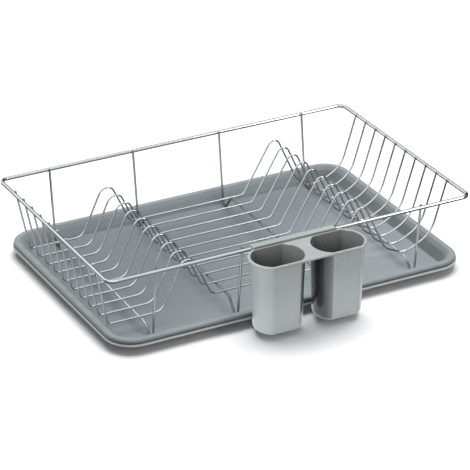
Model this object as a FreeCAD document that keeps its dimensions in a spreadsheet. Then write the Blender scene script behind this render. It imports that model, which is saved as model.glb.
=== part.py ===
"""Dish drying rack: a bent-wire rack, its drip tray and a hang-on cutlery holder.

Frame: millimetres, +Z up, Z = 0 is the underside of the drip tray, the origin is
the centre of that underside, X runs along the rack (the low hump is at -X) and
the cutlery holder hangs on the -Y side.
"""
import FreeCAD, Part
import math
import os
import Sketcher

V = FreeCAD.Vector

# Driving dimensions, one spreadsheet cell each.
SIZES = [
    # drip tray: half sizes of each outline, corner radii and heights
    ("tray_floor_thick", 2.0),
    ("tray_top_z", 18.5),
    ("tray_draft", 38.2),
    ("tray_base_half_x", 215.0),
    ("tray_base_half_y", 142.0),
    ("tray_base_corner", 15.0),
    ("tray_floor_half_x", 214.0),
    ("tray_floor_half_y", 141.0),
    ("tray_floor_corner", 14.0),
    ("tray_flange_half_x", 234.5),
    ("tray_flange_half_y", 161.5),
    ("tray_flange_corner", 34.0),
    ("tray_skirt_thick", 1.8),
    ("tray_flange_thick", 2.2),
    ("tray_skirt_z", 12.6),
    ("tray_brim_z", 10.6),
    ("tray_brim_out", 1.3),
    ("tray_floor_fillet", 4.5),
    ("tray_base_fillet", 2.5),
    ("tray_edge_fillet", 2.4),
    ("tray_mouth_fillet", 1.2),
    # rim: one thick wire bent to a rectangle
    ("rim_half_x", 241.0),
    ("rim_half_y", 154.0),
    ("rim_corner", 10.0),
    ("rim_z", 97.3),
    ("rim_wire_r", 2.35),
    # lengthwise wires: vertices of the bent path in X and Z, and bend radii
    ("long_wire_r", 1.2),
    ("long_pitch", 24.5),
    ("long_first_y", 113.75),
    ("left_tip_x", -237.95),
    ("left_tip_z", 99.6),
    ("left_foot_x", -221.2),
    ("left_floor_z", 17.0),
    ("hump_a_start_x", -151.5),
    ("hump_a_peak_x", -116.8),
    ("hump_a_peak_z", 91.0),
    ("hump_a_end_x", -85.0),
    ("mid_floor_z", 23.4),
    ("hump_b_start_x", 74.0),
    ("hump_b_peak_x", 118.8),
    ("hump_b_peak_z", 99.0),
    ("bowl_left_x", 152.0),
    ("bowl_left_z", 26.6),
    ("bowl_base_a_x", 174.0),
    ("bowl_base_b_x", 187.5),
    ("bowl_base_z", 17.0),
    ("bowl_cross_z", 17.36),
    ("bowl_right_x", 217.0),
    ("bowl_right_z", 31.5),
    ("right_tip_x", 238.1),
    ("right_tip_z", 99.6),
    ("bend_left", 6.0),
    ("bend_hump_a_in", 13.0),
    ("bend_hump_a", 11.0),
    ("bend_mid_a", 8.0),
    ("bend_mid_b", 7.0),
    ("bend_hump_b", 8.5),
    ("bend_bowl_a", 24.0),
    ("bend_bowl_b", 26.0),
    ("bend_bowl_c", 26.0),
    ("bend_bowl_d", 40.0),
    # cross wires: path in Y and Z, with a V shaped foot near each end
    ("cross_wire_r", 1.5),
    ("cross_tip_y", 150.45),
    ("cross_tip_z", 99.2),
    ("foot_outer_y", 139.0),
    ("foot_inner_y", 130.6),
    ("foot_z", 3.7),
    ("foot_rise_y", 116.0),
    ("bend_foot", 2.6),
    ("bend_rise", 7.0),
    ("cross_x1", -177.7),
    ("cross_x2", -65.0),
    ("cross_x3", 57.2),
    ("cross_x4", 176.1),
    ("cross_turn1", 0.6),
    ("cross_turn2", 1.1),
    ("cross_turn3", 0.5),
    ("cross_turn4", 0.7),
    # how far welded wires sink into each other
    ("weld_sink", 0.1),
    # cutlery holder: two cups, a plate between them and a hook over the rim
    ("cup_x1", -39.6),
    ("cup_x2", 39.6),
    ("cup_y", -184.9),
    ("cup_floor_z", 6.0),
    ("cup_plate_z", 95.9),
    ("cup_plate_thick", 2.3),
    ("cup_draft", 2.0),
    ("cup_flat", 17.5),
    ("cup_depth", 21.4),
    ("cup_round", 25.0),
    ("cup_wall", 1.9),
    ("well_flat", 17.0),
    ("well_draft", 2.6),
    ("plate_flat", 19.2),
    ("plate_depth", 26.8),
    ("plate_round", 30.0),
    ("cup_base_fillet", 6.0),
    ("cup_inner_fillet", 3.5),
    ("plate_edge_fillet", 0.7),
    ("hook_front_y", -156.65),
    ("hook_back_y", -151.35),
    ("hook_roof_z", 99.95),
    ("hook_thick", 1.25),
    ("hook_web_thick", 2.9),
    ("hook_lip_z", 94.4),
    ("hook_left_x", -57.5),
    ("hook_right_x", 53.0),
    ("hook_fillet", 0.8),
]
SIZE = dict(SIZES)


# ---------------------------------------------------------------- helpers
def make_sheet(doc):
    """The spreadsheet with every driving dimension and its alias."""
    sheet = doc.addObject("Spreadsheet::Sheet", "Sizes")
    for row, (alias, value) in enumerate(SIZES, start=1):
        sheet.set("A%d" % row, alias.replace("_", " "))
        sheet.set("B%d" % row, str(value))
        sheet.setAlias("B%d" % row, alias)
    doc.recompute()
    return sheet


def value_of(text):
    """Number given by an expression of cell names, for first guesses."""
    total = 0.0
    for term in text.replace("-", "+-").split("+"):
        term = term.strip()
        if not term:
            continue
        sign = 1.0
        if term.startswith("-"):
            sign, term = -1.0, term[1:].strip()
        product = 1.0
        for factor in term.split("*"):
            factor = factor.strip()
            product *= SIZE[factor] if factor in SIZE else float(factor)
        total += sign * product
    return total


def bound(text):
    """The same expression with each cell name led by the sheet's name."""
    words = text.split(" ")
    return " ".join("Sizes." + word if word in SIZE else word for word in words)


def make_body(doc, label):
    body = doc.addObject("PartDesign::Body", label)
    body.Label = label
    return body


def origin_plane(body, role):
    return [item for item in body.Origin.OriginFeatures if item.Role == role][0]


def make_sketch(body, name, role="XY_Plane", height=None):
    """Sketch on one of the body's origin planes, lifted along its normal."""
    sketch = body.newObject("Sketcher::SketchObject", name)
    sketch.AttachmentSupport = [(origin_plane(body, role), "")]
    sketch.MapMode = "FlatFace"
    if height:
        sketch.setExpression("AttachmentOffset.Base.z", bound(height))
    return sketch


def pin(sketch, kind, where, name, text):
    """Named dimension of a sketch, bound to the sheet."""
    index = sketch.addConstraint(Sketcher.Constraint(kind, *where, value_of(text)))
    sketch.renameConstraint(index, name)
    sketch.setExpression("Constraints." + name, bound(text))


def rounded_rectangle(sketch, tag, half_x, half_y, corner):
    """Rectangle centred on the origin with four equal corner arcs."""
    hx, hy, r = value_of(half_x), value_of(half_y), value_of(corner)
    ends = [
        (V(-hx + r, -hy, 0), V(hx - r, -hy, 0)),
        (V(hx, -hy + r, 0), V(hx, hy - r, 0)),
        (V(hx - r, hy, 0), V(-hx + r, hy, 0)),
        (V(-hx, hy - r, 0), V(-hx, -hy + r, 0)),
    ]
    centres = [V(hx - r, -hy + r, 0), V(hx - r, hy - r, 0), V(-hx + r, hy - r, 0), V(-hx + r, -hy + r, 0)]
    lines, arcs = [], []
    for side in range(4):
        lines.append(sketch.addGeometry(Part.LineSegment(*ends[side])))
        start = math.radians(-90 + 90 * side)
        circle = Part.Circle(centres[side], V(0, 0, 1), r)
        arcs.append(sketch.addGeometry(Part.ArcOfCircle(circle, start, start + math.pi / 2)))
    for side in range(4):
        after = lines[(side + 1) % 4]
        sketch.addConstraint(Sketcher.Constraint("Tangent", lines[side], 2, arcs[side], 1))
        sketch.addConstraint(Sketcher.Constraint("Tangent", arcs[side], 2, after, 1))
        flat = "Horizontal" if side % 2 == 0 else "Vertical"
        sketch.addConstraint(Sketcher.Constraint(flat, lines[side]))
        if side:
            sketch.addConstraint(Sketcher.Constraint("Equal", arcs[0], arcs[side]))
    pin(sketch, "Radius", (arcs[0],), tag + "_corner", corner)
    pin(sketch, "DistanceX", (-1, 1, lines[1], 1), tag + "_right", half_x)
    pin(sketch, "DistanceX", (lines[3], 1, -1, 1), tag + "_left", half_x)
    pin(sketch, "DistanceY", (-1, 1, lines[2], 1), tag + "_back", half_y)
    pin(sketch, "DistanceY", (lines[0], 1, -1, 1), tag + "_front", half_y)


def cup_outline(sketch, tag, centre, flat, depth, round_radius):
    """Flat front and back joined by an arc at each end, with a crease where they meet."""
    left, right = centre
    f, d, r = value_of(flat), value_of(depth), value_of(round_radius)
    xa, xb, yc = value_of(left) - f, value_of(right) + f, value_of("cup_y")
    reach = math.sqrt(r * r - d * d)
    half = math.asin(d / r)
    front = sketch.addGeometry(Part.LineSegment(V(xa, yc - d, 0), V(xb, yc - d, 0)))
    circle = Part.Circle(V(xb - reach, yc, 0), V(0, 0, 1), r)
    east = sketch.addGeometry(Part.ArcOfCircle(circle, -half, half))
    back = sketch.addGeometry(Part.LineSegment(V(xb, yc + d, 0), V(xa, yc + d, 0)))
    circle = Part.Circle(V(xa + reach, yc, 0), V(0, 0, 1), r)
    west = sketch.addGeometry(Part.ArcOfCircle(circle, math.pi - half, math.pi + half))
    chain = [front, east, back, west]
    for first, second in zip(chain, chain[1:] + chain[:1]):
        sketch.addConstraint(Sketcher.Constraint("Coincident", first, 2, second, 1))
    sketch.addConstraint(Sketcher.Constraint("Horizontal", front))
    sketch.addConstraint(Sketcher.Constraint("Horizontal", back))
    sketch.addConstraint(Sketcher.Constraint("Vertical", east, 1, east, 2))
    sketch.addConstraint(Sketcher.Constraint("Vertical", west, 1, west, 2))
    sketch.addConstraint(Sketcher.Constraint("Equal", east, west))
    pin(sketch, "Radius", (east,), tag + "_round", round_radius)
    pin(sketch, "DistanceX", (-1, 1, front, 1), tag + "_left", left + " - " + flat)
    pin(sketch, "DistanceX", (-1, 1, front, 2), tag + "_right", right + " + " + flat)
    pin(sketch, "DistanceY", (-1, 1, east, 3), tag + "_middle", "cup_y")
    pin(sketch, "DistanceY", (front, 1, east, 3), tag + "_depth", depth)


def bent_path(sketch, vertices, bends):
    """Straight runs through the vertices, joined by tangent arcs of the given radii."""
    points = [V(value_of(across), value_of(up), 0) for across, up in vertices]
    radii = [value_of(bend) for bend in bends]
    starts, stops, arcs = [points[0]], [], []
    for index, radius in enumerate(radii, start=1):
        before = (points[index - 1] - points[index]).normalize()
        after = (points[index + 1] - points[index]).normalize()
        opening = before.getAngle(after)
        reach = radius / math.tan(opening / 2)
        entry = points[index] + before * reach
        leave = points[index] + after * reach
        middle = (before + after).normalize()
        centre = points[index] + middle * (radius / math.sin(opening / 2))
        arcs.append((entry, centre - middle * radius, leave))
        stops.append(entry)
        starts.append(leave)
    stops.append(points[-1])
    lines = [sketch.addGeometry(Part.LineSegment(*ends)) for ends in zip(starts, stops)]
    curves = [sketch.addGeometry(Part.ArcOfCircle(*arc)) for arc in arcs]
    marks = [sketch.addGeometry(Part.Point(point), True) for point in points]
    for index, curve in enumerate(curves):
        forward = sketch.getPoint(curve, 1).distanceToPoint(arcs[index][0]) < 1e-6
        entry_end, leave_end = (1, 2) if forward else (2, 1)
        sketch.addConstraint(Sketcher.Constraint("Tangent", lines[index], 2, curve, entry_end))
        sketch.addConstraint(Sketcher.Constraint("Tangent", curve, leave_end, lines[index + 1], 1))
        pin(sketch, "Radius", (curve,), "bend_%d" % (index + 1), bends[index])
    for index, mark in enumerate(marks):
        pin(sketch, "DistanceX", (-1, 1, mark, 1), "across_%d" % index, vertices[index][0])
        pin(sketch, "DistanceY", (-1, 1, mark, 1), "up_%d" % index, vertices[index][1])
    sketch.addConstraint(Sketcher.Constraint("Coincident", lines[0], 1, marks[0], 1))
    sketch.addConstraint(Sketcher.Constraint("Coincident", lines[-1], 2, marks[-1], 1))
    for index, line in enumerate(lines):
        if index > 0:
            sketch.addConstraint(Sketcher.Constraint("PointOnObject", marks[index], 1, line))
        if index < len(lines) - 1:
            sketch.addConstraint(Sketcher.Constraint("PointOnObject", marks[index + 1], 1, line))


def section(body, name, spine, radius):
    """Round wire section standing square on the start of a spine."""
    sketch = body.newObject("Sketcher::SketchObject", name)
    sketch.AttachmentSupport = [(spine, "Edge1")]
    sketch.MapMode = "NormalToEdge"
    sketch.MapPathParameter = 0.0
    circle = sketch.addGeometry(Part.Circle(V(0, 0, 0), V(0, 0, 1), value_of(radius)))
    sketch.addConstraint(Sketcher.Constraint("Coincident", circle, 3, -1, 1))
    pin(sketch, "Radius", (circle,), "wire_radius", radius)
    return sketch


def wire_pipe(body, spine, radius):
    """Round wire drawn along a spine sketch of the same body."""
    profile = section(body, body.Name + "_section", spine, radius)
    body.Document.recompute()
    pipe = body.newObject("PartDesign::AdditivePipe", body.Name + "_wire")
    pipe.Profile = profile
    pipe.Spine = (spine, [""])
    body.Document.recompute()
    length = sum(edge.Length for edge in spine.Shape.Edges)
    expected = math.pi * value_of(radius) ** 2 * length
    if abs(body.Shape.Volume / expected - 1) > 0.01:
        raise RuntimeError("%s: volume %.1f, expected %.1f" % (body.Label, body.Shape.Volume, expected))
    return pipe


def pick_edges(shape, test):
    """Names of the edges whose bounding box passes a test."""
    return ["Edge%d" % n for n, edge in enumerate(shape.Edges, start=1) if test(edge.BoundBox)]


def at_height(height):
    """Test for edges that lie wholly at one height."""
    return lambda box: abs(box.ZMin - height) < 1e-4 and abs(box.ZMax - height) < 1e-4


def round_edges(body, name, radius, test):
    """Fillet of the edges that pass a test, with its radius bound to the sheet."""
    body.Document.recompute()
    last = body.Tip
    edges = pick_edges(last.Shape, test)
    if not edges:
        raise RuntimeError("%s: no edges to round" % name)
    fillet = body.newObject("PartDesign::Fillet", name)
    fillet.Base = (last, edges)
    fillet.setExpression("Radius", bound(radius))
    body.Document.recompute()
    return fillet


def feature(body, kind, name, profile, **settings):
    """PartDesign feature on a profile sketch."""
    item = body.newObject(kind, name)
    item.Profile = profile
    for key, value in settings.items():
        if key == "Length":
            item.setExpression("Length", bound(value))
        else:
            setattr(item, key, value)
    body.Document.recompute()
    return item


def compare_cut(name, before, shape, cut):
    """A cut has to take out nearly its own volume."""
    taken = before - shape.Volume
    print("%s takes %.0f of %.0f mm3" % (name, taken, cut.AddSubShape.Volume))
    if taken < 0.9 * cut.AddSubShape.Volume:
        raise RuntimeError("%s cut too little" % name)


# ---------------------------------------------------------------- drip tray
def make_tray(doc):
    """Shallow moulded tray: sloping walls, a flat flange, a skirt and a thin brim."""
    body = make_body(doc, "drip_tray")
    base = make_sketch(body, "tray_base")
    rounded_rectangle(base, "base", "tray_base_half_x", "tray_base_half_y", "tray_base_corner")
    height = "tray_top_z - tray_flange_thick"
    walls = feature(body, "PartDesign::Pad", "tray_walls", base, Length=height)
    walls.setExpression("TaperAngle", bound("tray_draft"))
    round_edges(body, "tray_base_rounding", "tray_base_fillet", at_height(0.0))
    flange = make_sketch(body, "tray_flange_outline", height=height)
    outer = ("tray_flange_half_x", "tray_flange_half_y", "tray_flange_corner")
    rounded_rectangle(flange, "flange", *outer)
    feature(body, "PartDesign::Pad", "tray_flange", flange, Length="tray_flange_thick")
    skirt = make_sketch(body, "tray_skirt_outline", height="tray_skirt_z")
    rounded_rectangle(skirt, "skirt", *outer)
    inner = [name + " - tray_skirt_thick" for name in outer]
    rounded_rectangle(skirt, "hollow", *inner)
    skirt_height = "tray_top_z - tray_flange_thick - tray_skirt_z"
    feature(body, "PartDesign::Pad", "tray_skirt", skirt, Length=skirt_height)
    brim = make_sketch(body, "tray_brim_outline", height="tray_brim_z")
    rounded_rectangle(brim, "brim", *[name + " + tray_brim_out" for name in outer])
    rounded_rectangle(brim, "hollow", *inner)
    feature(body, "PartDesign::Pad", "tray_brim", brim, Length="tray_skirt_z - tray_brim_z")
    floor = make_sketch(body, "tray_floor", height="tray_floor_thick")
    rounded_rectangle(floor, "floor", "tray_floor_half_x", "tray_floor_half_y", "tray_floor_corner")
    before = body.Shape.Volume
    depth = "tray_top_z - tray_floor_thick"
    cavity = feature(body, "PartDesign::Pocket", "tray_cavity", floor, Reversed=True, Length=depth)
    cavity.setExpression("TaperAngle", bound("tray_draft"))
    doc.recompute()
    compare_cut("tray_cavity", before, body.Shape, cavity)
    round_edges(body, "tray_floor_rounding", "tray_floor_fillet", at_height(SIZE["tray_floor_thick"]))

    def outer_edge(box):
        far = max(abs(box.XMin), abs(box.XMax)) > SIZE["tray_flange_half_x"] - 0.1
        deep = max(abs(box.YMin), abs(box.YMax)) > SIZE["tray_flange_half_y"] - 0.1
        return at_height(SIZE["tray_top_z"])(box) and (far or deep)

    round_edges(body, "tray_edge_rounding", "tray_edge_fillet", outer_edge)

    def mouth_edge(box):
        wide = max(abs(box.XMin), abs(box.XMax)) < SIZE["tray_flange_half_x"] - 5
        deep = max(abs(box.YMin), abs(box.YMax)) < SIZE["tray_flange_half_y"] - 5
        return at_height(SIZE["tray_top_z"])(box) and wide and deep

    round_edges(body, "tray_mouth_rounding", "tray_mouth_fillet", mouth_edge)
    return body


# ---------------------------------------------------------------- wire rack
def make_rim(doc):
    """Thick wire bent to a closed rectangle."""
    body = make_body(doc, "rim_frame")
    spine = make_sketch(body, "rim_spine", height="rim_z")
    rounded_rectangle(spine, "rim", "rim_half_x", "rim_half_y", "rim_corner")
    doc.recompute()
    wire_pipe(body, spine, "rim_wire_r")
    return body


LONG_PATH = [
    ("left_tip_x", "left_tip_z"),
    ("left_foot_x", "left_floor_z"),
    ("hump_a_start_x", "left_floor_z"),
    ("hump_a_peak_x", "hump_a_peak_z"),
    ("hump_a_end_x", "mid_floor_z"),
    ("hump_b_start_x", "mid_floor_z"),
    ("hump_b_peak_x", "hump_b_peak_z"),
    ("bowl_left_x", "bowl_left_z"),
    ("bowl_base_a_x", "bowl_base_z"),
    ("bowl_base_b_x", "bowl_base_z"),
    ("bowl_right_x", "bowl_right_z"),
    ("right_tip_x", "right_tip_z"),
]
LONG_BENDS = [
    "bend_left",
    "bend_hump_a_in",
    "bend_hump_a",
    "bend_mid_a",
    "bend_mid_b",
    "bend_hump_b",
    "bend_bowl_a",
    "bend_bowl_b",
    "bend_bowl_c",
    "bend_bowl_d",
]


def make_long_wire(doc, number):
    """One lengthwise wire: left end, low hump, middle floor, tall hump, bowl, right end."""
    body = make_body(doc, "rack_wire_%02d" % number)
    spine = make_sketch(body, body.Name + "_spine", role="XZ_Plane")
    bent_path(spine, LONG_PATH, LONG_BENDS)
    doc.recompute()
    wire_pipe(body, spine, "long_wire_r")
    place = "Sizes.long_first_y - %d * Sizes.long_pitch" % (number - 1)
    body.setExpression("Placement.Base.y", place)
    return body


def make_cross_wire(doc, number, floor):
    """One cross wire: rim, upright, V foot, floor run, V foot, upright, rim."""
    body = make_body(doc, "cross_wire_%d" % number)
    spine = make_sketch(body, body.Name + "_spine", role="YZ_Plane")
    under = floor + " - long_wire_r - cross_wire_r + weld_sink"
    half = [
        ("cross_tip_y", "cross_tip_z"),
        ("foot_outer_y", "foot_z"),
        ("foot_inner_y", "foot_z"),
        ("foot_rise_y", under),
    ]
    front = [("0 - " + across, up) for across, up in half]
    bends = ["bend_foot", "bend_foot", "bend_rise"]
    bent_path(spine, front + half[::-1], bends + bends[::-1])
    doc.recompute()
    wire_pipe(body, spine, "cross_wire_r")
    body.Placement = FreeCAD.Placement(V(0, 0, 0), FreeCAD.Rotation(V(0, 0, 1), 1))
    body.setExpression("Placement.Base.x", "Sizes.cross_x%d" % number)
    body.setExpression("Placement.Rotation.Angle", "-1 * Sizes.cross_turn%d" % number)
    return body


# ---------------------------------------------------------------- cutlery holder
def make_holder(doc):
    """Two tapered cups hung side by side from a plate with a hook over the rim."""
    body = make_body(doc, "cutlery_holder")
    for number in (1, 2):
        centre = ("cup_x%d" % number, "cup_x%d" % number)
        base = make_sketch(body, "cup_%d_base" % number, height="cup_floor_z")
        cup_outline(base, "base", centre, "cup_flat", "cup_depth", "cup_round")
        cup = feature(body, "PartDesign::Pad", "cup_%d" % number, base, Length="cup_plate_z - cup_floor_z")
        cup.setExpression("TaperAngle", bound("cup_draft"))
    round_edges(body, "cup_base_rounding", "cup_base_fillet", at_height(SIZE["cup_floor_z"]))
    plate = make_sketch(body, "plate_outline", height="cup_plate_z")
    cup_outline(plate, "plate", ("cup_x1", "cup_x2"), "plate_flat", "plate_depth", "plate_round")
    feature(body, "PartDesign::Pad", "plate", plate, Length="cup_plate_thick")
    hook = make_sketch(body, "hook_profile", role="YZ_Plane", height="hook_left_x")
    hook_profile(hook)
    feature(body, "PartDesign::Pad", "hook", hook, Length="hook_right_x - hook_left_x")
    for number in (1, 2):
        centre = ("cup_x%d" % number, "cup_x%d" % number)
        floor = make_sketch(body, "well_%d_base" % number, height="cup_floor_z + cup_wall")
        cup_outline(floor, "well", centre, "well_flat", "cup_depth - cup_wall", "cup_round - cup_wall")
        before = body.Shape.Volume
        height = "cup_plate_z + cup_plate_thick - cup_floor_z - cup_wall"
        well = feature(body, "PartDesign::Pocket", "well_%d" % number, floor, Reversed=True, Length=height)
        well.setExpression("TaperAngle", bound("well_draft"))
        doc.recompute()
        compare_cut("well_%d" % number, before, body.Shape, well)
    well_floor = SIZE["cup_floor_z"] + SIZE["cup_wall"]
    round_edges(body, "well_floor_rounding", "cup_inner_fillet", at_height(well_floor))
    plate_top = SIZE["cup_plate_z"] + SIZE["cup_plate_thick"]

    def plate_edge(box):
        return at_height(plate_top)(box) and box.YMin < SIZE["cup_y"]

    round_edges(body, "plate_rounding", "plate_edge_fillet", plate_edge)
    hook_top = SIZE["hook_roof_z"] + SIZE["hook_thick"]
    round_edges(body, "hook_rounding", "hook_fillet", at_height(hook_top))
    return body


def hook_profile(sketch):
    """Section of the hook: web behind the cups, roof over the rim, lip inside it."""
    corners = [
        ("hook_front_y - hook_web_thick", "cup_plate_z"),
        ("hook_front_y", "cup_plate_z"),
        ("hook_front_y", "hook_roof_z"),
        ("hook_back_y", "hook_roof_z"),
        ("hook_back_y", "hook_lip_z"),
        ("hook_back_y + hook_thick", "hook_lip_z"),
        ("hook_back_y + hook_thick", "hook_roof_z + hook_thick"),
        ("hook_front_y - hook_web_thick", "hook_roof_z + hook_thick"),
    ]
    points = [V(value_of(across), value_of(up), 0) for across, up in corners]
    loop = points[1:] + points[:1]
    lines = [sketch.addGeometry(Part.LineSegment(*ends)) for ends in zip(points, loop)]
    for first, second in zip(lines, lines[1:] + lines[:1]):
        sketch.addConstraint(Sketcher.Constraint("Coincident", first, 2, second, 1))
    for index, (across, up) in enumerate(corners):
        pin(sketch, "DistanceX", (-1, 1, lines[index], 1), "across_%d" % index, across)
        pin(sketch, "DistanceY", (-1, 1, lines[index], 1), "up_%d" % index, up)


# ---------------------------------------------------------------- whole object
def check(doc, parts):
    """Every object computed and every sub-part one valid solid."""
    for item in doc.Objects:
        if "Invalid" in item.State or "Error" in item.State:
            raise RuntimeError("%s failed: %s" % (item.Name, item.State))
    for part in parts:
        shape = part.Shape
        if shape.isNull() or not shape.isValid() or len(shape.Solids) != 1:
            raise RuntimeError("%s has no single valid solid" % part.Label)


def main():
    doc = FreeCAD.newDocument("dish_rack")
    make_sheet(doc)
    parts = [make_tray(doc), make_rim(doc)]
    parts += [make_long_wire(doc, number) for number in range(1, 11)]
    floors = ["left_floor_z", "mid_floor_z", "mid_floor_z", "bowl_cross_z"]
    parts += [make_cross_wire(doc, number, floor) for number, floor in enumerate(floors, start=1)]
    parts.append(make_holder(doc))
    doc.recompute()
    check(doc, parts)
    os.makedirs("parts", exist_ok=True)
    for part in parts:
        part.Shape.exportStep("parts/%s.step" % part.Label)
        box = part.Shape.BoundBox
        print("%-16s volume %9.1f mm3, box %s" % (part.Label, part.Shape.Volume, box))


main()
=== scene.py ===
"""Dish drying rack: finishes, weld beads, studio floor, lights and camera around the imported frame.

Metres, +Z up, the origin is the centre of the drip tray's underside. X runs along the
rack, the cutlery holder hangs on the -Y side.
"""
import bpy
import math
import numpy as np
from mathutils import Matrix, Vector


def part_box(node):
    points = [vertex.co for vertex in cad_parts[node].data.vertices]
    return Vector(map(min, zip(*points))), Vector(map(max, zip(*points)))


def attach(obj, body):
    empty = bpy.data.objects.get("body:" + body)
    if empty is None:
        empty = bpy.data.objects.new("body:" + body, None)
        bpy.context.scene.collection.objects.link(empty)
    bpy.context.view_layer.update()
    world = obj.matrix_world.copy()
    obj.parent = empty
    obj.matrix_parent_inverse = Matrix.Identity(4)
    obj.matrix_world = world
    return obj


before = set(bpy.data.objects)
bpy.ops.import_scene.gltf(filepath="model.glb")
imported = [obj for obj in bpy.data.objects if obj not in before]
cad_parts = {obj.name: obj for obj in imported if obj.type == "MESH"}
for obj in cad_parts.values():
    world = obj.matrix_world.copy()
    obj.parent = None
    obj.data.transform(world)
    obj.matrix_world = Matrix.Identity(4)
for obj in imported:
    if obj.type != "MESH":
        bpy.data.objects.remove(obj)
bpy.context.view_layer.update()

MM = 0.001
LONG_WIRES = ["rack_wire_%02d" % n for n in range(1, 11)]
CROSS_WIRES = ["cross_wire_%d" % n for n in range(1, 5)]
LONG_R = 1.2 * MM
RIM_R = 2.35 * MM
RIM_HALF_X, RIM_Z = 0.241, 0.0973

# Weld beads: height of the long wires' middle line at each cross wire, the cross wires' small
# turns about Z in degrees, half sizes of the beads, and how far a bead on the rim leans
# across and down.
WELD_HEIGHTS = [0.0170, 0.0234, 0.0234, 0.01736]
CROSS_TURNS = [0.6, 1.1, 0.5, 0.7]
CROSSING_BEAD = (1.5 * MM, 1.35 * MM, 0.55 * MM)
RIM_BEAD = (1.7 * MM, 1.3 * MM, 0.5 * MM)
LEAN_ACROSS, LEAN_DOWN = 2.9, 2.3
BEAD_RINGS, BEAD_TURNS = 7, 12

# Chrome: its two plating tones, the water marks, and the painted dark reflection on faces that look
# down.
CHROME_DARK, CHROME_LIGHT = (0.78, 0.79, 0.80), (0.86, 0.87, 0.88)
CHROME_MARKS = (0.62, 0.64, 0.65)
UNDERSIDE_FROM, UNDERSIDE_TO = -0.40, 0.22
UNDERSIDE_TONE = (0.16, 0.165, 0.17)

# Tray: plastic tones, then the tones painted by place. Those of the floor, the walls and the crease are
# painted shade. The brim's pale band is painted light.
TRAY_DARK, TRAY_LIGHT = (0.197, 0.222, 0.234), (0.225, 0.250, 0.261)
TRAY_FLOOR_SHADE = (0.134, 0.155, 0.166)
TRAY_BRIM, TRAY_CREASE = (0.50, 0.51, 0.49), (0.060, 0.068, 0.068)
TRAY_WALL = (0.128, 0.141, 0.143)
FLANGE_HALF, FLANGE_CORNER = (0.2345, 0.1615), 0.034

# Heights at which each band of the tray starts and ends, in metres.
BRIM_STARTS, BRIM_ENDS = (0.0098, 0.0104), (0.0126, 0.0132)
CREASE_STARTS, CREASE_ENDS = (0.0122, 0.0128), (0.0142, 0.0168)
WALL_STARTS, TRAY_FLOOR_ENDS = (0.0021, 0.0042), (0.0035, 0.0070)

# Cups: the middle of a cup, plastic tones, a paler low part that stands in for light off the
# floor, and two dark tones that stand in for shade, each with its strength.
CUP_X, CUP_Y = 0.0396, -0.1849
CUP_DARK, CUP_LIGHT = (0.245, 0.265, 0.261), (0.275, 0.296, 0.292)
CUP_LOW = (0.345, 0.385, 0.395)
CUP_INSIDE, INSIDE_DEPTH = (0.014, 0.011, 0.008), 1.0
CUP_GAP, GAP_DEPTH = (0.012, 0.013, 0.014), 0.96
PLAIN_EDGE = 0.0008

# Stage: what lights the scene, and what bright surfaces see in its place.
FLOOR_RADIUS, FLOOR_DROP, FLOOR_SIDES = 3.0, 0.0004, 96
FLOOR_DARK, FLOOR_LIGHT = (0.75, 0.75, 0.755), (0.77, 0.77, 0.775)
FLOOR_IN_METAL = (0.10, 0.103, 0.108)
FLOOR_NEAR = (1.00, 1.00, 1.02)
SURROUND_LOW, SURROUND_HIGH = 0.55, 0.85
SURROUND_DARK = (0.060, 0.064, 0.070)
SURROUND_LIGHT = (0.90, 0.925, 0.96)
SURROUND_GLOW = (0.33, 0.335, 0.342)
FRONT_SCREEN = (-0.42, -0.80, 0.43)
BACK_SCREEN = (-0.35, 0.70, 0.62)
CAMERA_PLACE = (-1.39489, -2.65401, 1.53286)
CAMERA_AIM = (-0.00338, -0.01057, 0.03902)
CAMERA_ROLL = -0.17
CAMERA_LENS = 209.8


# ---------------------------------------------------------------- node helpers
def named_socket(sockets, name):
    return [socket for socket in sockets if socket.name == name][0]


class Tree:
    """Short way to add nodes to a tree, set their sockets and link them."""

    def __init__(self, tree):
        self.tree = tree

    def node(self, kind, settings=None, **inputs):
        """A node of a kind; settings are its properties, inputs its sockets by name, or by
        number as i0, i1 and so on."""
        node = self.tree.nodes.new(kind)
        for key, value in (settings or {}).items():
            setattr(node, key, value)
        for key, value in inputs.items():
            if key[1:].isdigit():
                socket = node.inputs[int(key[1:])]
            else:
                socket = named_socket(node.inputs, key.replace("_", " "))
            self.feed(socket, value)
        return node

    def feed(self, socket, value):
        if isinstance(value, bpy.types.NodeSocket):
            self.tree.links.new(value, socket)
        else:
            socket.default_value = value

    def math(self, operation, first, second=0.0, third=0.0):
        node = self.node("ShaderNodeMath", {"operation": operation}, i0=first, i1=second, i2=third)
        return node.outputs[0]

    def noise(self, vector, scale, detail=2.0, roughness=0.5):
        node = self.node("ShaderNodeTexNoise", {"noise_type": "FBM", "normalize": True},
                         Vector=vector, Scale=scale, Detail=detail, Roughness=roughness)
        return node.outputs[0]

    def noise_colour(self, vector, scale):
        """Three channel noise used to bend a pattern."""
        node = self.node("ShaderNodeTexNoise", Vector=vector, Scale=scale, Detail=2.0)
        return node.outputs["Color"]

    def parts(self, vector):
        """The x, y and z of a vector."""
        return self.node("ShaderNodeSeparateXYZ", Vector=vector).outputs

    def span(self, value, low, high, to_low=0.0, to_high=1.0):
        """A value's range low..high carried over to to_low..to_high, with smooth ends."""
        node = self.node("ShaderNodeMapRange", {"interpolation_type": "SMOOTHSTEP"},
                         i0=value, i1=low, i2=high, i3=to_low, i4=to_high)
        return node.outputs[0]

    def blend(self, mask, first, second):
        """Colour mix of two colours by a mask."""
        node = self.node("ShaderNodeMix", {"data_type": "RGBA", "blend_type": "MIX"})
        for place, value in ((0, mask), (6, first), (7, second)):
            self.feed(node.inputs[place], value)
        return node.outputs[2]


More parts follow.
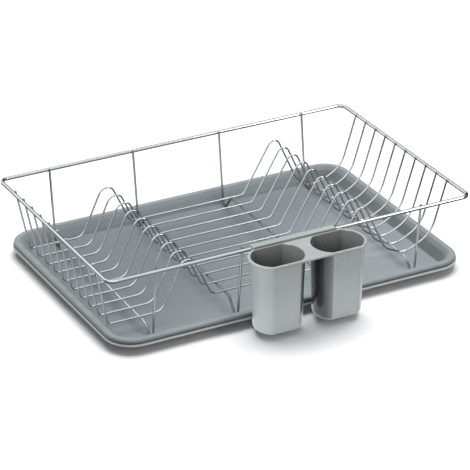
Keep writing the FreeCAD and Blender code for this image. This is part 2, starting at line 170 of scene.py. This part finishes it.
def make_group(name, inputs, outputs, build):
    """Shader node group: inputs and outputs are (name, socket kind, default) in order."""
    group = bpy.data.node_groups.new(name, "ShaderNodeTree")
    for title, kind, default in inputs:
        socket = group.interface.new_socket(title, in_out="INPUT", socket_type=kind)
        if default is not None:
            socket.default_value = default
    for title, kind in outputs:
        group.interface.new_socket(title, in_out="OUTPUT", socket_type=kind)
    tree = Tree(group)
    source = tree.node("NodeGroupInput")
    target = tree.node("NodeGroupOutput")
    results = build(tree, {title: source.outputs[title] for title, kind, default in inputs})
    for title, value in results.items():
        tree.feed(target.inputs[title], value)
    return group


def use_group(tree, group, **inputs):
    """Places a group in a material with its own values."""
    node = tree.node("ShaderNodeGroup", {"node_tree": group})
    for key, value in inputs.items():
        tree.feed(node.inputs[key.replace("_", " ")], value)
    return node.outputs


# ---------------------------------------------------------------- shared effects
def build_moulding(tree, source):
    """Satin skin of a moulded part: fine spark grain, slow waves and faint flow streaks."""
    place = source["Vector"]
    grain = tree.noise(place, source["Grain scale"], 3.0, 0.6)
    slow = tree.noise(place, 9.0, 2.0, 0.45)
    stretch = tree.node("ShaderNodeMapping", Vector=place, Scale=(7.0, 38.0, 12.0))
    flow = tree.noise(stretch.outputs[0], 1.0, 3.0, 0.6)
    shade = tree.math("ADD", tree.math("MULTIPLY", slow, 0.55), tree.math("MULTIPLY", flow, 0.45))
    rough = tree.math("MULTIPLY_ADD", grain, 0.35, tree.math("MULTIPLY", shade, 0.65))
    height = tree.math("MULTIPLY_ADD", grain, 0.6, tree.math("MULTIPLY", slow, 0.4))
    return {"Shade": tree.span(shade, 0.3, 0.7), "Roughness mask": tree.span(rough, 0.3, 0.7),
            "Height": height}


def build_scuffs(tree, source):
    """Thin broken lines and soft patches of light rubbing, spread evenly over the part."""
    place = source["Vector"]
    bent = tree.node("ShaderNodeVectorMath", {"operation": "MULTIPLY_ADD"},
                     i0=tree.noise_colour(place, 6.0), i1=(0.05, 0.05, 0.05), i2=place).outputs[0]
    lines = tree.node("ShaderNodeTexVoronoi", {"feature": "DISTANCE_TO_EDGE"},
                      Vector=bent, Scale=source["Line scale"], Randomness=1.0).outputs["Distance"]
    thin = tree.span(lines, 0.0, source["Line width"], 1.0, 0.0)
    broken = tree.span(tree.noise(place, 22.0, 3.0, 0.6), 0.52, 0.66)
    patch = tree.span(tree.noise(place, 13.0, 4.0, 0.65), 0.5, 0.72)
    return {"Lines": tree.math("MULTIPLY", thin, broken), "Patches": patch}


def build_water_marks(tree, source):
    """Dried water marks: sparse rings with soft edges."""
    place = source["Vector"]
    cells = tree.node("ShaderNodeTexVoronoi", {"feature": "F1"}, Vector=place,
                      Scale=source["Spot scale"], Randomness=1.0)
    radius = cells.outputs["Distance"]
    inner = tree.span(radius, 0.10, 0.16)
    ring = tree.math("MULTIPLY", inner, tree.span(radius, 0.17, 0.24, 1.0, 0.0))
    sparse = tree.span(tree.noise(place, 16.0, 2.0, 0.5), 0.55, 0.68)
    return {"Marks": tree.math("MULTIPLY", ring, sparse)}


def build_cup_depth(tree, source):
    """Masks for tones that stand in for shade: down inside a cup, and on the walls where the
    two cups face each other. They stay the same from every side and under any light.
    A wall is an inner one where its normal points at the cup's own middle line."""
    x, y, z = (tree.parts(source["Vector"])[name] for name in "XYZ")
    nx, ny, nz = (tree.parts(source["Normal"])[name] for name in "XYZ")
    side = tree.math("SIGN", x)
    out_x = tree.math("MULTIPLY_ADD", side, -CUP_X, x)
    out_y = tree.math("SUBTRACT", y, CUP_Y)
    outward = tree.math("MULTIPLY_ADD", out_x, nx, tree.math("MULTIPLY", out_y, ny))
    inner_wall = tree.span(outward, -0.012, -0.004, 1.0, 0.0)
    low = tree.span(z, 0.02, 0.04, 1.0, 0.0)
    inner_floor = tree.math("MULTIPLY", tree.span(nz, 0.3, 0.7), low)
    inside = tree.math("MAXIMUM", inner_wall, inner_floor)
    depth = tree.span(z, 0.010, 0.103, 1.0, 0.42)
    inward = tree.math("MULTIPLY", tree.math("MULTIPLY", side, nx), -1.0)
    facing = tree.span(inward, 0.15, 0.85)
    near_gap = tree.span(tree.math("ABSOLUTE", x), CUP_X - 0.010, CUP_X - 0.002, 1.0, 0.0)
    below_bridge = tree.span(z, 0.098, 0.090)
    gap = tree.math("MULTIPLY", tree.math("MULTIPLY", facing, near_gap), below_bridge)
    return {"Inside": tree.math("MULTIPLY", inside, depth), "Gap": gap}


def build_tray_floor_shade(tree, source):
    """Mask for a deeper tone on the tray floor towards the back left, with a cloudy edge.
    It stands in for shade."""
    place = source["Vector"]
    lean = tree.node("ShaderNodeVectorMath", {"operation": "DOT_PRODUCT"}, i0=place, i1=(-0.5, 0.8, 0.0))
    cloud = tree.noise(place, 8.0, 3.0, 0.6)
    cloudy = tree.math("MULTIPLY_ADD", cloud, 0.08, lean.outputs["Value"])
    low = tree.span(tree.parts(place)["Z"], *TRAY_FLOOR_ENDS, 1.0, 0.0)
    return {"Shade": tree.math("MULTIPLY", tree.span(cloudy, -0.055, 0.085), low)}


def build_tray_edge(tree, source):
    """Masks for painted bands on the tray: painted light on the thin pale brim, painted shade in the
    dark crease above it, and painted shade on the inner walls. The distance to the outline is the length
    of (|x|, |y|) past the corner centres, less the radius."""
    x, y, z = (tree.parts(source["Vector"])[name] for name in "XYZ")
    past = [tree.math("MAXIMUM", tree.math("SUBTRACT", tree.math("ABSOLUTE", value),
                                           half - FLANGE_CORNER), 0.0)
            for value, half in ((x, FLANGE_HALF[0]), (y, FLANGE_HALF[1]))]
    squares = [tree.math("POWER", value, 2.0) for value in past]
    length = tree.math("SQRT", tree.math("ADD", *squares))
    outside = tree.span(length, FLANGE_CORNER - 0.0045, FLANGE_CORNER - 0.0025)
    within = tree.span(length, FLANGE_CORNER - 0.013, FLANGE_CORNER - 0.010, 1.0, 0.0)
    brim = tree.math("MULTIPLY", tree.span(z, *BRIM_STARTS), tree.span(z, *BRIM_ENDS, 1.0, 0.0))
    crease = tree.math("MULTIPLY", tree.span(z, *CREASE_STARTS), tree.span(z, *CREASE_ENDS, 1.0, 0.0))
    return {"Brim": tree.math("MULTIPLY", brim, outside),
            "Crease": tree.math("MULTIPLY", crease, outside),
            "Wall": tree.math("MULTIPLY", tree.span(z, *WALL_STARTS), within)}


def make_groups():
    """Every shared effect as a group: its name, its inputs after Vector, its outputs, its maker."""
    number, vector = "NodeSocketFloat", "NodeSocketVector"
    effects = {
        "moulding": ("moulded_skin", [("Grain scale", number, 1600.0)],
                     ["Shade", "Roughness mask", "Height"], build_moulding),
        "scuffs": ("rubbed_marks", [("Line scale", number, 30.0), ("Line width", number, 0.01)],
                   ["Lines", "Patches"], build_scuffs),
        "water": ("water_marks", [("Spot scale", number, 60.0)], ["Marks"], build_water_marks),
        "cup_depth": ("cup_depth", [("Normal", vector, None)], ["Inside", "Gap"], build_cup_depth),
        "tray_floor": ("tray_floor_shade", [], ["Shade"], build_tray_floor_shade),
        "tray_edge": ("tray_edge", [], ["Brim", "Crease", "Wall"], build_tray_edge),
    }
    return {key: make_group(name, [("Vector", vector, None)] + inputs,
                            [(title, number) for title in outputs], build)
            for key, (name, inputs, outputs, build) in effects.items()}


GROUPS = make_groups()


# ---------------------------------------------------------------- finishes
def new_material(name):
    material = bpy.data.materials.new(name)
    material.use_nodes = True
    material.node_tree.nodes.clear()
    tree = Tree(material.node_tree)
    shader = tree.node("ShaderNodeBsdfPrincipled")
    tree.node("ShaderNodeOutputMaterial", Surface=shader.outputs[0])
    place = tree.node("ShaderNodeTexCoord").outputs["Object"]
    return material, tree, shader, place


def bright_chrome(name, low_shade=0.0, low_to=0.016):
    """Plated wire: mirror bright with a faint drawn haze, fine ripple and a few water marks.
    Faces that look down are darker, and so is the wire below the height low_to, by low_shade.
    Both stand in for dark reflections, and aren't a second plating."""
    material, tree, shader, place = new_material(name)
    shader.inputs["Metallic"].default_value = 1.0
    haze = tree.noise(place, 210.0, 4.0, 0.6)
    cloud = tree.noise(place, 24.0, 2.0, 0.5)
    marks = use_group(tree, GROUPS["water"], Vector=place, Spot_scale=160.0)["Marks"]
    tone = tree.blend(tree.span(cloud, 0.3, 0.7), (*CHROME_DARK, 1), (*CHROME_LIGHT, 1))
    tone = tree.blend(tree.math("MULTIPLY", marks, 0.25), tone, (*CHROME_MARKS, 1))
    # Painted dark reflection and shade: faces that look down, and the wire below low_to, blend to the
    # underside tone.
    facing = tree.parts(tree.node("ShaderNodeNewGeometry").outputs["Normal"])["Z"]
    painted_dark = tree.span(facing, UNDERSIDE_FROM, UNDERSIDE_TO, 1.0, 0.0)
    low_down = tree.span(tree.parts(place)["Z"], low_to / 2, low_to, low_shade, 0.0)
    painted_dark = tree.math("MAXIMUM", painted_dark, low_down)
    tree.feed(shader.inputs["Base Color"], tree.blend(painted_dark, tone, (*UNDERSIDE_TONE, 1)))
    rough = tree.math("MULTIPLY_ADD", haze, 0.10, 0.05)
    tree.feed(shader.inputs["Roughness"], tree.math("MULTIPLY_ADD", marks, 0.16, rough))
    bump = tree.node("ShaderNodeBump", Strength=0.12, Distance=0.0002, Height=haze)
    tree.feed(shader.inputs["Normal"], bump.outputs[0])
    return material


def moulded_plastic(name, dark, light, rough, grain, marks, coat=0.0, soften=PLAIN_EDGE, cups=False):
    """Moulded satin plastic with a slow shade change, fine grain, rubbed marks and water spots. The tray
    and the cups then take their own painted light and shade. soften is the radius over which edges are
    shaded round; the cups keep a plain edge near their lip."""
    material, tree, shader, place = new_material(name)
    skin = use_group(tree, GROUPS["moulding"], Vector=place, Grain_scale=grain)
    rubbed = use_group(tree, GROUPS["scuffs"], Vector=place, Line_scale=28.0, Line_width=0.012)
    water = use_group(tree, GROUPS["water"], Vector=place, Spot_scale=70.0)["Marks"]
    body = tree.blend(skin["Shade"], (*dark, 1), (*light, 1))
    paler = tuple(min(1.0, channel * 1.22 + 0.02) for channel in light)
    wear = tree.math("MULTIPLY", tree.math("MAXIMUM", rubbed["Lines"], water), marks)
    body = tree.blend(wear, body, (*paler, 1))
    if not cups:
        # Painted shade on the tray floor towards the back left, on the inner walls (stronger at the
        # right end), and in the crease; painted light on the brim.
        shade = use_group(tree, GROUPS["tray_floor"], Vector=place)["Shade"]
        body = tree.blend(tree.math("MULTIPLY", shade, 0.9), body, (*TRAY_FLOOR_SHADE, 1))
        edge = use_group(tree, GROUPS["tray_edge"], Vector=place)
        right_end = tree.span(tree.parts(place)["X"], 0.150, 0.205, 0.42, 1.0)
        body = tree.blend(tree.math("MULTIPLY", edge["Wall"], right_end), body, (*TRAY_WALL, 1))
        body = tree.blend(edge["Crease"], body, (*TRAY_CREASE, 1))
        body = tree.blend(edge["Brim"], body, (*TRAY_BRIM, 1))
    if cups:
        normal = tree.node("ShaderNodeNewGeometry").outputs["Normal"]
        low_down = tree.span(tree.parts(place)["Z"], 0.000, 0.075, 0.55, 0.0)
        body = tree.blend(low_down, body, (*CUP_LOW, 1))
        hollow = use_group(tree, GROUPS["cup_depth"], Vector=place, Normal=normal)
        body = tree.blend(tree.math("MULTIPLY", hollow["Inside"], INSIDE_DEPTH), body, (*CUP_INSIDE, 1))
        body = tree.blend(tree.math("MULTIPLY", hollow["Gap"], GAP_DEPTH), body, (*CUP_GAP, 1))
    tree.feed(shader.inputs["Base Color"], body)
    satin = tree.math("MULTIPLY_ADD", skin["Roughness mask"], 0.10, rough)
    satin = tree.math("MULTIPLY_ADD", rubbed["Patches"], 0.06, satin)
    tree.feed(shader.inputs["Roughness"], tree.math("MULTIPLY_ADD", water, 0.10, satin))
    reach = tree.span(tree.parts(place)["Z"], 0.086, 0.094, soften, PLAIN_EDGE) if cups else soften
    soft_edge = tree.node("ShaderNodeBevel", {"samples": 6}, Radius=reach)
    bump = tree.node("ShaderNodeBump", Strength=0.22, Distance=0.00012, Height=skin["Height"],
                     Normal=soft_edge.outputs[0])
    tree.feed(shader.inputs["Normal"], bump.outputs[0])
    shader.inputs["IOR"].default_value = 1.49
    shader.inputs["Coat Weight"].default_value = coat
    shader.inputs["Coat Roughness"].default_value = 0.12
    return material


def studio_floor():
    """Matt pale sweep. Bright surfaces see a painted reflection of it instead: a glow, pale near the
    rack and dark further off.
    """
    material, tree, shader, place = new_material("pale_sweep")
    tone = tree.noise(place, 3.0, 2.0, 0.5)
    tree.feed(shader.inputs["Base Color"], tree.blend(tone, (*FLOOR_DARK, 1), (*FLOOR_LIGHT, 1)))
    shader.inputs["Roughness"].default_value = 0.9
    shader.inputs["Specular IOR Level"].default_value = 0.1
    # Painted reflection: glossy rays see a glow in place of the lit floor. The glow is pale near the
    # rack and dark further off.
    away = tree.node("ShaderNodeVectorMath", {"operation": "LENGTH"}, i0=place).outputs["Value"]
    seen = tree.blend(tree.span(away, 0.25, 0.38), (*FLOOR_NEAR, 1), (*FLOOR_IN_METAL, 1))
    painted_reflection = tree.node("ShaderNodeEmission", Color=seen, Strength=1.0)
    mirror_ray = tree.node("ShaderNodeLightPath").outputs["Is Glossy Ray"]
    mix = tree.node("ShaderNodeMixShader", i0=mirror_ray, i1=shader.outputs[0], i2=painted_reflection.outputs[0])
    output = [node for node in material.node_tree.nodes if node.type == "OUTPUT_MATERIAL"][0]
    tree.feed(output.inputs["Surface"], mix.outputs[0])
    return material


def give_finish(piece, material):
    """Every material slot of a piece takes the finish."""
    if not piece.material_slots:
        piece.data.materials.append(material)
    for slot in piece.material_slots:
        slot.material = material


# ---------------------------------------------------------------- weld beads
def bead_points(centre, axes, sizes):
    """Ellipsoid: each point is the centre plus sin(v)cos(u), sin(v)sin(u) and cos(v) times the
    three half sizes along three axes, with u round and v from pole to pole."""
    v = np.linspace(0, np.pi, BEAD_RINGS)
    u = np.linspace(0, 2 * np.pi, BEAD_TURNS, endpoint=False)
    vv, uu = np.meshgrid(v[1:-1], u, indexing="ij")
    unit = np.stack([np.sin(vv) * np.cos(uu), np.sin(vv) * np.sin(uu), np.cos(vv)], -1)
    unit = np.vstack([[0, 0, 1], unit.reshape(-1, 3), [0, 0, -1]])
    return np.asarray(centre) + (unit * np.asarray(sizes)) @ np.asarray(axes)


def bead_faces():
    """Quads between the rings of an ellipsoid and triangle fans at its two poles."""
    rows, turns = BEAD_RINGS - 2, BEAD_TURNS
    around = [(a, (a + 1) % turns) for a in range(turns)]
    last = 1 + rows * turns
    last_ring = 1 + (rows - 1) * turns
    fans = [(0, 1 + a, 1 + b) for a, b in around]
    fans += [(last, last_ring + b, last_ring + a) for a, b in around]
    quads = [(ring + a, ring + turns + a, ring + turns + b, ring + b)
             for ring in range(1, last_ring, turns) for a, b in around]
    return fans + quads


def beads(name, places, material, body):
    """One piece made of many small weld beads; places are (centre, axes, half sizes)."""
    faces = bead_faces()
    points, shapes = [], []
    for centre, axes, sizes in places:
        start = sum(len(block) for block in points)
        points.append(bead_points(centre, axes, sizes))
        shapes += [tuple(corner + start for corner in face) for face in faces]
    mesh = bpy.data.meshes.new(name)
    mesh.from_pydata(np.vstack(points).tolist(), [], shapes)
    mesh.polygons.foreach_set("use_smooth", np.ones(len(mesh.polygons), bool))
    mesh.update()
    piece = bpy.data.objects.new(name, mesh)
    bpy.context.scene.collection.objects.link(piece)
    give_finish(piece, material)
    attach(piece, body)
    return piece


def middle(node):
    low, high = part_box(node)
    return (low + high) / 2


def weld_places():
    """Crossings of the long and cross wires, and the wire ends on the rim."""
    places = []
    flat = np.eye(3)
    long_y = [middle(name).y for name in LONG_WIRES]
    for name, height, turn in zip(CROSS_WIRES, WELD_HEIGHTS, CROSS_TURNS):
        x = middle(name).x
        for y in long_y:
            shift = math.tan(math.radians(turn)) * y
            places.append(((x + shift, y, height - LONG_R), flat, CROSSING_BEAD))
    for side in (-1, 1):
        for y in long_y:
            lean = Vector((side * LEAN_ACROSS, 0, -LEAN_DOWN)).normalized()
            along = Vector((-lean.z * side, 0, lean.x * side))
            centre = Vector((side * RIM_HALF_X, y, RIM_Z)) - lean * RIM_R
            places.append((centre, [along, (0, 1, 0), lean], RIM_BEAD))
    return places


# ---------------------------------------------------------------- stage
def make_floor(material):
    """Flat disc of 3 m radius, a hair under the tray."""
    turn = np.linspace(0, 2 * np.pi, FLOOR_SIDES, endpoint=False)
    drop = np.full(FLOOR_SIDES, -FLOOR_DROP)
    edge = np.stack([FLOOR_RADIUS * np.cos(turn), FLOOR_RADIUS * np.sin(turn), drop], -1)
    mesh = bpy.data.meshes.new("floor")
    mesh.from_pydata(edge.tolist(), [], [tuple(range(FLOOR_SIDES))])
    floor = bpy.data.objects.new("floor", mesh)
    bpy.context.scene.collection.objects.link(floor)
    give_finish(floor, material)


def softbox(name, place, aim, width, height, watts):
    """Rectangular area light turned towards a point."""
    light = bpy.data.lights.new(name, "AREA")
    light.shape = "RECTANGLE"
    light.size, light.size_y = width, height
    light.energy = watts
    lamp = bpy.data.objects.new(name, light)
    bpy.context.scene.collection.objects.link(lamp)
    lamp.location = place
    lamp.rotation_euler = (Vector(aim) - Vector(place)).to_track_quat("-Z", "Y").to_euler()
    return lamp


def light_only(lamp, names):
    """Flags a lamp off from all but the named nodes."""
    lit = bpy.data.collections.new(lamp.name + "_lights")
    for name in names:
        lit.objects.link(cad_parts[name])
    lamp.light_linking.receiver_collection = lit


def studio_surround():
    """Even glow that lights the scene. Bright surfaces see another surround instead of it:
    dark, with a bright top and a bright area in front and one behind."""
    world = bpy.data.worlds.new("studio")
    bpy.context.scene.world = world
    world.use_nodes = True
    world.node_tree.nodes.clear()
    tree = Tree(world.node_tree)
    direction = tree.node("ShaderNodeTexCoord").outputs["Generated"]
    height = tree.parts(direction)["Z"]
    towards = {"operation": "DOT_PRODUCT"}
    front = tree.node("ShaderNodeVectorMath", towards, i0=direction, i1=FRONT_SCREEN)
    fade = tree.span(height, -0.05, 0.40, 0.62, 1.0)
    low_edge = tree.math("MULTIPLY", tree.span(height, -0.22, -0.02), fade)
    screen = tree.math("MULTIPLY", tree.span(front.outputs["Value"], 0.35, 0.80), low_edge)
    back = tree.node("ShaderNodeVectorMath", towards, i0=direction, i1=BACK_SCREEN)
    screen = tree.math("MAXIMUM", screen, tree.span(back.outputs["Value"], 0.68, 0.86))
    rise = tree.math("MAXIMUM", tree.span(height, SURROUND_LOW, SURROUND_HIGH), screen)
    mirrored = tree.blend(rise, (*SURROUND_DARK, 1), (*SURROUND_LIGHT, 1))
    mirror_ray = tree.node("ShaderNodeLightPath").outputs["Is Glossy Ray"]
    glow = tree.blend(mirror_ray, (*SURROUND_GLOW, 1), mirrored)
    background = tree.node("ShaderNodeBackground", Color=glow, Strength=1.0)
    tree.node("ShaderNodeOutputWorld", Surface=background.outputs[0])


def make_camera():
    """Long lens looking down on the front left of the rack."""
    data = bpy.data.cameras.new("camera")
    data.lens = CAMERA_LENS
    data.sensor_width = 36.0
    data.clip_end = 50.0
    camera = bpy.data.objects.new("camera", data)
    bpy.context.scene.collection.objects.link(camera)
    turn = (Vector(CAMERA_AIM) - Vector(CAMERA_PLACE)).to_track_quat("-Z", "Y").to_matrix().to_4x4()
    roll = Matrix.Rotation(math.radians(CAMERA_ROLL), 4, "Z")
    camera.matrix_world = Matrix.Translation(CAMERA_PLACE) @ turn @ roll
    bpy.context.scene.camera = camera


def make_lights():
    """Overhead box that bright surfaces don't see, a left strip for the holder, a right strip."""
    overhead = softbox("overhead", (0.28, 0.40, 1.85), (0, 0, 0), 2.1, 1.5, 70.0)
    overhead.visible_glossy = False
    left_strip = softbox("left_strip", (-1.7, -1.0, 0.9), (0, 0, 0.05), 0.35, 1.5, 40.0)
    light_only(left_strip, ["cutlery_holder"])
    softbox("right_strip", (1.3, -1.7, 0.9), (0, 0, 0.05), 0.35, 1.4, 9.0)


# ---------------------------------------------------------------- whole picture
def main():
    bpy.context.scene.view_settings.view_transform = "Standard"
    chrome = bright_chrome("bright_chrome")
    # The cross wires' finishes carry painted dark reflection and shade low down, by their low_shade.
    foot_chrome = bright_chrome("chrome_painted_dark_feet", 0.75)
    low_chrome = bright_chrome("chrome_painted_dark_low_down", 0.78, 0.036)
    tray = moulded_plastic("tray_grey", TRAY_DARK, TRAY_LIGHT, rough=0.34, grain=1500.0, marks=0.08)
    cups = moulded_plastic("cup_grey", CUP_DARK, CUP_LIGHT, rough=0.20, grain=1900.0, marks=0.04,
                           coat=0.6, soften=0.0060, cups=True)
    for name in LONG_WIRES + ["rim_frame"]:
        give_finish(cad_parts[name], chrome)
    for name, finish in zip(CROSS_WIRES, (foot_chrome, low_chrome, low_chrome, foot_chrome)):
        give_finish(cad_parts[name], finish)
    give_finish(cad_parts["drip_tray"], tray)
    give_finish(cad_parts["cutlery_holder"], cups)
    beads("weld_beads", weld_places(), chrome, "rack")
    make_floor(studio_floor())
    studio_surround()
    make_lights()
    make_camera()


main()
